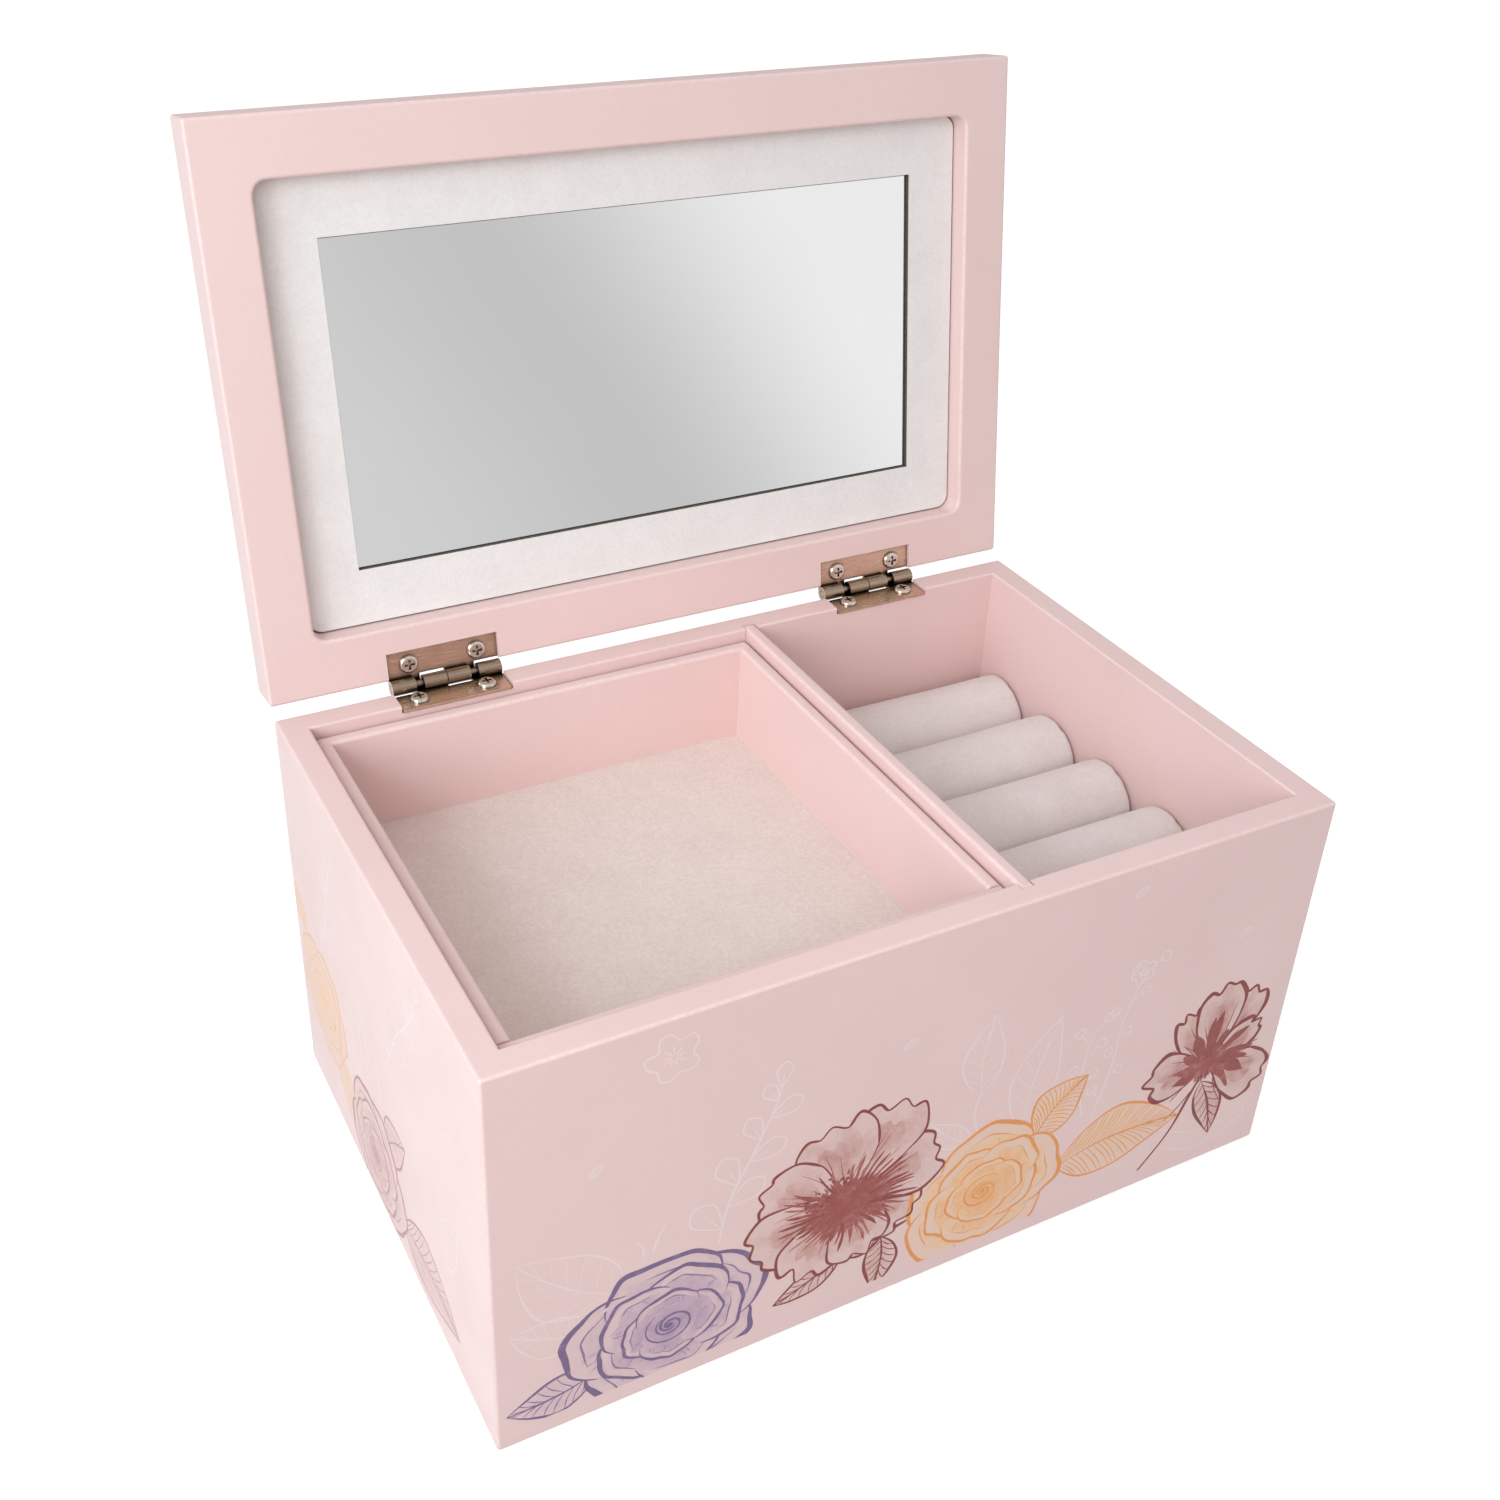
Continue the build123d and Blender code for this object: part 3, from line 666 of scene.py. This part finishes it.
def open_flower(face, colour, middle, radius, layer):
    """A wide open flower seen from a little above: eight petals, a dark heart and loose stamens."""
    draw = face.draw
    middle = Vector(middle)
    for number, share in enumerate((0.95, 1.05, 1.16, 1.04, 1.02, 1.05, 0.95, 0.88)):
        heading = math.radians(-35 + 46 * number) + draw.uniform(-0.08, 0.08)
        length = radius * share
        petal(face, colour, middle, heading, length, length * draw.uniform(0.72, 0.86), layer,
              draw.uniform(0.34, 0.46), 0.66)
        layer += 4
    brushed_heart(face, colour, middle + Vector((0.5, -2.0)), radius * 0.56, 0.74, layer, 46)
    for _ in range(26):
        angle = draw.uniform(1.3, 3.2)
        reach = radius * draw.uniform(0.22, 0.46)
        place = polar(middle + Vector((0, 0.6)), reach, angle, 0.8)
        face.dot(colour, place, draw.uniform(0.2, 0.42), layer + 3, draw.choice((0.0, 0.0, 0.9)))


def side_flower(face, colour, middle, radius, layer):
    """The same kind of flower seen from its side, with petals up and two hanging."""
    draw = face.draw
    middle = Vector(middle)
    for heading, share, wide in ((118, 0.95, 0.5), (62, 1.0, 0.62), (88, 1.08, 0.62), (178, 0.84, 0.62),
                                 (-32, 0.98, 0.66), (30, 0.72, 0.42)):
        petal(face, colour, middle, math.radians(heading), radius * share, radius * wide, layer, 0.6, 0.62)
        layer += 4
    for heading in (70, 84, 98, 118, 150, 176, 200, 30, 8, -14, -34, -52):
        turn = math.radians(heading + draw.uniform(-5, 5))
        far = radius * draw.uniform(0.42, 0.72)
        path = [middle, polar(middle, far * 0.5, turn + 0.12), polar(middle, far, turn)]
        face.stroke(colour, path, draw.uniform(1.7, 3.0), layer, draw.choice((0.18, 0.26)),
                    ends=(0.8, 0.05), count=12)
    brushed_heart(face, colour, middle, radius * 0.22, 0.9, layer + 1, 20)


def sprig(face, colour, path, size, layer, loops=7):
    """A bending stem with loops of bare leaf in turn along both its sides."""
    pen = 0.4
    face.stroke(colour, path, pen * 1.3, layer, ends=(0.9, 0.3))
    stem = smooth(path, loops + 3)
    for number in range(1, loops + 2):
        along = (stem[min(number + 1, loops + 2)] - stem[number - 1]).normalized()
        lean = 0 if number > loops else 0.85 if number % 2 else -0.85
        heading = math.atan2(along.y, along.x) + lean
        length = size * face.draw.uniform(0.8, 1.1) * (1 - 0.4 * number / loops)
        ahead = Vector((math.cos(heading), math.sin(heading)))
        side = Vector((-ahead.y, ahead.x)) * length * 0.3
        root = stem[number]
        shape = ((0, 0), (0.3, 0.6), (0.7, 1), (1, 0), (0.7, -1), (0.3, -0.6))
        bud = [root + ahead * length * forth + side * aside for forth, aside in shape]
        face.stroke(colour, bud, pen, layer + 1, closed=True, count=26)
        face.stroke(colour, [root, root + ahead * length * 0.6], pen * 0.6, layer + 1, count=6)


def berries(face, colour, path, layer, twigs=7):
    """A stem with short twigs, each ending in a small round bud."""
    pen = 0.32
    face.stroke(colour, path, pen * 1.2, layer, ends=(0.9, 0.4))
    stem = smooth(path, twigs + 2)
    for number in range(1, twigs + 2):
        along = (stem[min(number + 1, twigs + 1)] - stem[number - 1]).normalized()
        heading = math.atan2(along.y, along.x) + (0.7 if number % 2 else -0.7)
        end = polar(stem[number], face.draw.uniform(3.0, 5.5), heading)
        twig = [stem[number], stem[number].lerp(end, 0.5) + along * 0.4, end]
        face.stroke(colour, twig, pen * 0.7, layer, count=8)
        ring = [polar(end, face.draw.uniform(1.0, 1.4), math.tau * k / 6) for k in range(6)]
        face.stroke(colour, ring, pen, layer + 1, closed=True, count=18)


def blossom(face, colour, middle, radius, layer):
    """A small five-lobed flower in outline."""
    reaches = [radius * (1.0 if k % 3 else 0.72) * face.draw.uniform(0.92, 1.08) for k in range(15)]
    lobes = [polar(middle, reach, math.tau * k / 15) for k, reach in enumerate(reaches)]
    face.stroke(colour, lobes, 0.4, layer, closed=True, count=60)
    for number in range(9):
        angle = math.tau * number / 9
        far = radius * face.draw.uniform(0.35, 0.6)
        stamen = [polar(middle, radius * 0.1, angle), polar(middle, far, angle + 0.2)]
        face.stroke(colour, stamen, 0.35, layer + 1, count=6)


def fallen_petal(face, colour, middle, heading, size, layer):
    """A small loose petal."""
    ahead = Vector((math.cos(heading), math.sin(heading)))
    side = Vector((-ahead.y, ahead.x))
    middle = Vector(middle)
    shape = ((-1, 0), (-0.2, 0.5), (0.7, 0.4), (1, 0), (0.5, -0.5), (-0.3, -0.4))
    at = [middle + ahead * size * forth + side * size * aside for forth, aside in shape]
    face.wash(colour, smooth(at, 20, closed=True), middle, layer, 0.9, 0.4)
    face.stroke(colour, at, 0.25, layer + 1, closed=True, count=24)


def front_print(face):
    """A row of four flowers with their leaves, in front of white sprigs and berries."""
    for base, tip, width in (((26, 31), (5, 49), 16), ((20, 24), (3, 31), 10), ((105, 48), (106, 69), 10),
                             ((117, 33), (123, 62), 12), ((104, 35), (93, 45), 6)):
        leaf(face, "white", base, tip, width, 1, 7, 0.28)
    face.stroke("white", [(105, 49), (104, 42), (107, 34)], 0.45, 1)
    face.stroke("white", [(32, 38), (33, 42), (35, 46)], 0.5, 1)
    face.stroke("white", [(30, 38), (30, 41), (28, 44)], 0.4, 1)
    sprig(face, "white", [(46, 34), (48, 45), (53, 56), (57, 66), (58, 72)], 10, 1)
    berries(face, "white", [(136, 28), (139, 42), (140, 55), (144, 66)], 1)
    berries(face, "white", [(133, 30), (131, 42), (132, 53)], 1, 5)
    face.stroke("white", [(158, 10), (166, 5.5), (176, 6), (183, 10), (180, 14)], 0.4, 1)
    face.stroke("white", [(158, 15), (168, 10), (178, 10)], 0.3, 1)
    blossom(face, "white", (35.5, 86), 5.5, 1)
    blossom(face, "white", (143, 66), 3.2, 3)
    for place, heading in (((20.5, 65), 0.8), ((86, 69), 0.6), ((138, 88), 0.3), ((170, 67), 0.5)):
        fallen_petal(face, "white", place, heading, 1.7, 1)

    leaf(face, "violet", (21, 12), (2, 9), 10, 3, 9, 0.4, fill=0.95)
    rose(face, "violet", (36, 17), 21.5, 0.88, 2.2, 6)

    leaf(face, "orange", (121, 29), (133, 42), 13, 3, 18, 0.36, fill=1.0)
    leaf(face, "orange", (128, 17), (162, 18), 18, 3, 26, 0.36, fill=1.0)
    rose(face, "orange", (109, 19), 20, 0.9, 0.7, 6, 0.8)

    face.stroke("maroon", [(91, 19.5), (86, 18.5), (80, 19), (73, 22)], 0.9, 3, ends=(0.4, 0.4))
    leaf(face, "maroon", (75, 17.5), (59, 9.5), 7, 3, 8, 0.4, fill=0.95)
    leaf(face, "maroon", (84, 17.5), (83, 2), 8, 3, 8, 0.45, fill=0.9)
    leaf(face, "maroon", (85, 18.5), (72, 18.5), 7, 3, 7, 0.4, fill=0.9)
    open_flower(face, "maroon", (74.5, 33), 21.5, 6)

    face.stroke("maroon", [(167, 29), (164, 22), (160, 13), (152, 3)], 0.75, 3, ends=(1.0, 0.5))
    face.stroke("maroon", [(167, 27), (162, 21), (158, 17.5)], 0.4, 3)
    leaf(face, "maroon", (167, 26), (173, 7.5), 7.5, 3, 7, 0.45, fill=0.9)
    side_flower(face, "maroon", (168, 31), 21, 6)


def left_print(face):
    """A peach and a mauve rose under two white sprigs."""
    sprig(face, "white", [(20, 48), (27, 60), (31, 72), (38, 84)], 9, 1)
    sprig(face, "white", [(66, 52), (74, 66), (84, 78), (90, 90)], 8, 1, 6)
    leaf(face, "white", (58, 34), (48, 56), 11, 1, 6, 0.34)
    leaf(face, "white", (96, 26), (104, 44), 9, 1, 6, 0.34)
    fallen_petal(face, "white", (103, 66), 0.4, 1.7, 1)
    leaf(face, "peach", (9, 44), (2, 54), 7, 3, 7, 0.34, fill=1.0)
    leaf(face, "peach", (28, 24), (37, 6), 12, 3, 10, 0.34, fill=1.0)
    rose(face, "peach", (19, 32), 15.5, 0.95, 0.4, 6, 0.7)
    leaf(face, "mauve", (60, 24), (74, 36), 11, 3, 10, 0.4, fill=1.0)
    leaf(face, "mauve", (68, 10), (102, 10), 16, 3, 16, 0.4, fill=1.0)
    rose(face, "mauve", (52, 14.5), 17.5, 0.95, 1.5, 6, 0.85)


def right_print(face):
    """An orange and a violet rose. The photograph doesn't show this side."""
    leaf(face, "white", (60, 33), (72, 54), 12, 1, 6, 0.34)
    sprig(face, "white", [(96, 30), (92, 44), (86, 58), (85, 70)], 9, 1)
    berries(face, "white", [(22, 24), (24, 40), (30, 54)], 1)
    for place, heading in (((48, 70), 0.5), ((104, 78), 0.8)):
        fallen_petal(face, "white", place, heading, 1.7, 1)
    leaf(face, "orange", (54, 20), (84, 16), 15, 3, 14, 0.36, fill=1.0)
    rose(face, "orange", (38, 18), 17.5, 0.92, 1.1, 6, 0.8)
    leaf(face, "violet", (90, 10), (74, 5), 7, 3, 8, 0.4, fill=0.95)
    rose(face, "violet", (102, 15), 15.5, 0.92, 0.3, 6)


def back_print(face):
    """An orange and a mauve rose, well apart. The photograph doesn't show this side."""
    sprig(face, "white", [(30, 26), (36, 40), (44, 52), (48, 62)], 10, 1)
    leaf(face, "white", (150, 30), (138, 50), 13, 1, 6, 0.34)
    berries(face, "white", [(96, 20), (98, 34), (104, 48)], 1)
    blossom(face, "white", (120, 76), 4.5, 1)
    for place, heading in (((66, 68), 0.5), ((160, 74), 0.8)):
        fallen_petal(face, "white", place, heading, 1.7, 1)
    leaf(face, "orange", (42, 15), (70, 12), 14, 3, 14, 0.36, fill=1.0)
    rose(face, "orange", (27, 16), 16, 0.92, 0.2, 6, 0.8)
    leaf(face, "mauve", (144, 14), (116, 10), 14, 3, 14, 0.4, fill=1.0)
    rose(face, "mauve", (160, 17), 18, 0.92, 2.6, 6, 0.85)


def printed_faces():
    """The floral print round the foot of the box, cut off a little above the walls' lower edge."""
    low = Vector(min(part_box(f"{side}_panel")[0][axis] for side in ("left", "front")) for axis in range(3))
    high = Vector(max(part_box(f"{side}_panel")[1][axis] for side in ("right", "back")) for axis in range(3))
    across, along, up = Vector((1, 0, 0)), Vector((0, 1, 0)), Vector((0, 0, 1))
    faces = (
        (front_print, Face("front", (low.x, low.y, low.z), across, up, seed=11, foot=4.5)),
        (left_print, Face("left", (low.x, high.y, low.z), -along, up, seed=12, foot=1.5)),
        (right_print, Face("right", (high.x, low.y, low.z), along, up, seed=13, foot=4.5)),
        (back_print, Face("back", (high.x, high.y, low.z), -across, up, seed=14, foot=4.5)),
    )
    for make, face in faces:
        make(face)
        face.finish()


# ---------------------------------------------------------------------------------------------- stage
FLOOR_HALF = 12.0  # from its middle to each side, in metres
FLOOR_GLOW = 0.4
CARD_Y = -0.42  # the card that the mirror sees stands here, in front of the box
CARD_GREYS = ((0.08, 0.72), (0.24, 0.62), (0.42, 0.95))  # place along its slanting ramp, and how bright
CARD_SLANT = 0.55  # on that ramp, a metre up counts as this much of a metre across
WORLD_HEIGHTS = (-0.3, 0.7)  # the world brightens between these heights of a direction, from -1 to 1
WORLD_STRENGTHS = (0.38, 0.73)


def sheet(name, corners, material):
    """A flat four-cornered sheet of the stage."""
    mesh = bpy.data.meshes.new(name)
    mesh.from_pydata(corners, [], [(0, 1, 2, 3)])
    mesh.materials.append(material)
    made = bpy.data.objects.new(name, mesh)
    bpy.context.scene.collection.objects.link(made)
    return made


def floor():
    """White, and left out of the diffuse light: what light comes from below is the world's."""
    tree = Tree("floor_white")
    mottle = tree.blend(tree.noise(3, 2), srgb(250, 250, 250), srgb(254, 254, 254))
    white = tree.set(Base_Color=mottle, Roughness=0.8, Emission_Color=srgb(255, 255, 255),
                     Emission_Strength=FLOOR_GLOW)
    half = FLOOR_HALF
    made = sheet("floor", [(-half, -half, 0), (half, -half, 0), (half, half, 0), (-half, half, 0)], white)
    made.visible_diffuse = False


def reflected_card():
    """A studio card in front of the box that only mirrors and gloss see: grey, and lighter to the right."""
    material = bpy.data.materials.new("reflected_card")
    material.use_nodes = True
    nodes, links = material.node_tree.nodes, material.node_tree.links
    nodes.clear()
    parts = nodes.new("ShaderNodeSeparateXYZ")
    links.new(nodes.new("ShaderNodeTexCoord").outputs["Object"], parts.inputs["Vector"])
    slant = nodes.new("ShaderNodeMath")
    slant.operation = "MULTIPLY_ADD"
    links.new(parts.outputs["Z"], slant.inputs[0])
    slant.inputs[1].default_value = CARD_SLANT
    links.new(parts.outputs["X"], slant.inputs[2])
    ramp = nodes.new("ShaderNodeValToRGB")
    links.new(slant.outputs["Value"], ramp.inputs["Fac"])
    ramp.color_ramp.interpolation = "EASE"
    stops = ramp.color_ramp.elements
    stops.new(0.5)
    for stop, (place, grey) in zip(stops, CARD_GREYS):
        stop.position = place
        stop.color = (grey, grey, grey, 1)
    glow = nodes.new("ShaderNodeEmission")
    links.new(ramp.outputs["Color"], glow.inputs["Color"])
    links.new(glow.outputs["Emission"], nodes.new("ShaderNodeOutputMaterial").inputs["Surface"])
    card = sheet("reflected_card", [(-0.5, 0, -0.2), (1.1, 0, -0.2), (1.1, 0, 0.7), (-0.5, 0, 0.7)], material)
    card.location = (0, CARD_Y, 0)
    card.visible_camera = card.visible_diffuse = card.visible_shadow = card.visible_transmission = False


def area_light(name, place, aim, size, power, colour):
    light = bpy.data.lights.new(name, "AREA")
    light.shape = "SQUARE"
    light.size = size
    light.energy = power
    light.color = colour
    made = bpy.data.objects.new(name, light)
    made.location = place
    made.rotation_euler = (Vector(aim) - Vector(place)).to_track_quat("-Z", "Y").to_euler()
    bpy.context.scene.collection.objects.link(made)


def world():
    """Soft light from all round, brighter from above."""
    made = bpy.data.worlds.new("studio")
    made.use_nodes = True
    nodes, links = made.node_tree.nodes, made.node_tree.links
    heading = nodes.new("ShaderNodeSeparateXYZ")
    links.new(nodes.new("ShaderNodeTexCoord").outputs["Generated"], heading.inputs["Vector"])
    strength = nodes.new("ShaderNodeMapRange")
    links.new(heading.outputs["Z"], strength.inputs["Value"])
    for name, number in zip(("From Min", "From Max", "To Min", "To Max"), WORLD_HEIGHTS + WORLD_STRENGTHS):
        strength.inputs[name].default_value = number
    background = nodes["Background"]
    background.inputs["Color"].default_value = (1.0, 1.0, 1.0, 1.0)
    links.new(strength.outputs["Result"], background.inputs["Strength"])
    bpy.context.scene.world = made


def lights():
    """A slightly warm key over the front left corner, and a cooler, nearer light on the left."""
    area_light("key", place=(-0.50, -0.52, 0.42), aim=(0, 0, 0.08), size=0.5, power=2.7,
               colour=(1.0, 0.955, 0.945))
    area_light("left", place=(-0.47, -0.16, 0.35), aim=(0, 0.05, 0.15), size=0.3, power=1.2,
               colour=(0.80, 1.0, 1.06))


def camera():
    """Above the front left corner, looking down into the box."""
    data = bpy.data.cameras.new("camera")
    data.lens = 42.145
    data.sensor_width = 36
    data.shift_x = 0.0048
    data.shift_y = -0.0324
    place = Vector((-162.2, -262.2, 297.5)) * MM
    turn, down, roll = (math.radians(degrees) for degrees in (29.49, 31.388, 2.617))
    forward = Vector((math.sin(turn) * math.cos(down), math.cos(turn) * math.cos(down), -math.sin(down)))
    level = Vector((math.cos(turn), -math.sin(turn), 0))
    right = math.cos(roll) * level + math.sin(roll) * level.cross(forward)
    up = right.cross(forward)
    made = bpy.data.objects.new("camera", data)
    made.matrix_world = Matrix.Translation(place) @ Matrix((right, up, -forward)).transposed().to_4x4()
    bpy.context.scene.collection.objects.link(made)
    bpy.context.scene.camera = made


camera()
ring_rolls()
printed_faces()
floor()
world()
lights()
reflected_card()
bpy.context.scene.view_settings.view_transform = "Standard"
